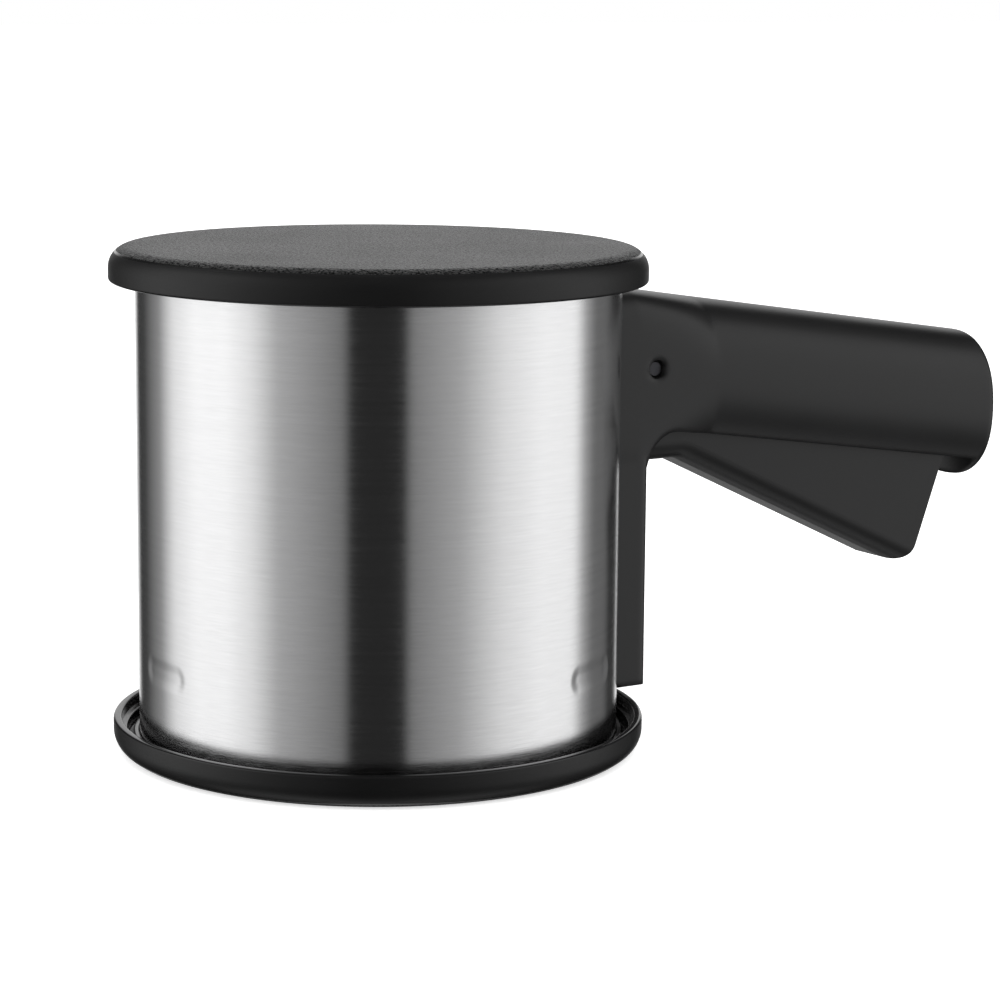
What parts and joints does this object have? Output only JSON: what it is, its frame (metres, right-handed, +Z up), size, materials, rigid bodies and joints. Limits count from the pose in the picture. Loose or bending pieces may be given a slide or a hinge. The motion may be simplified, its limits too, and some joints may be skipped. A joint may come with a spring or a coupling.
{
  "type": "flour sifter",
  "caption": "Round metal flour sifter can closed by two flat lids, with a drooping side handle and a squeeze trigger that swings an agitator over a sieve.",
  "frame": {"origin": "centre of the base lid's underside, where the can's axis meets the surface the sifter stands on", "axes": "+Z up along the can's axis; +X from the can's axis along the handle; +Y by the right hand"},
  "size_m": [0.2418, 0.1274, 0.1206],
  "materials": {
    "brushed_can": "fine circumferential brushing",
    "steel": "satin",
    "bright_steel": "polished wire and hardware",
    "mesh": "woven wire",
    "lid_plastic": "fine sand grain, black",
    "handle_plastic": "smooth satin black",
    "trigger_plastic": "smooth satin black",
    "bearing_plastic": "natural acetal",
    "seal": "soft black",
    "dark_pin": "darkened steel"
  },
  "bodies": {
    "base_lid": {"base_lid": "lid_plastic"},
    "can": {"can_shell": "brushed_can", "wall_seal": "seal", "sieve_lower_ring": "steel", "sieve_upper_ring": "steel", "sieve_mesh": "mesh", "support_bridge": "steel", "bridge_rivets": "bright_steel", "centre_bolt": "bright_steel", "centre_washers": "bright_steel", "cap_nut": "bright_steel", "lower_bush": "bearing_plastic", "upper_bush": "bearing_plastic", "handle_shell": "handle_plastic", "handle_screws": "bright_steel", "screw_washers": "bright_steel", "pivot_pin": "dark_pin", "trigger_spring": "bright_steel"},
    "top_lid": {"top_lid": "lid_plastic"},
    "trigger": {"trigger": "trigger_plastic"},
    "drive_wire": {"drive_wire": "bright_steel"},
    "agitator": {"rotor_hub": "bearing_plastic", "rotor_fork": "steel", "agitator_wire_1": "bright_steel", "agitator_wire_2": "bright_steel", "agitator_wire_3": "bright_steel", "agitator_wire_4": "bright_steel", "agitator_wire_5": "bright_steel", "agitator_wire_6": "bright_steel"}
  },
  "joints": [
    {"name": "base_seat", "type": "slide", "parent": "base_lid", "child": "can", "axis": [0, 0, 1], "range_m": [0, 0.06]},
    {"name": "top_lid_lift", "type": "slide", "parent": "can", "child": "top_lid", "axis": [0, 0, 1], "range_m": [0, 0.06]},
    {"name": "trigger_squeeze", "type": "hinge", "parent": "can", "child": "trigger", "pos_m": [0.06895, 0, 0.0886], "axis": [0, -1, 0], "range_deg": [0, 12], "stiffness_Nm_per_rad": 4, "springref_deg": -5.73, "deforming": ["trigger_spring"]},
    {"name": "drive_turn", "type": "hinge", "parent": "can", "child": "drive_wire", "pos_m": [0.0613, 0, 0.05], "axis": [0, 0, -1], "range_deg": [0, 36]},
    {"name": "agitator_turn", "type": "hinge", "parent": "can", "child": "agitator", "pos_m": [0, 0, 0.035], "axis": [0, 0, 1], "range_deg": [0, 55]}
  ],
  "couplings": [
    {"joint": "drive_turn", "follows": "trigger_squeeze", "ratio": 3},
    {"joint": "agitator_turn", "follows": "trigger_squeeze", "ratio": 4.5833}
  ]
}
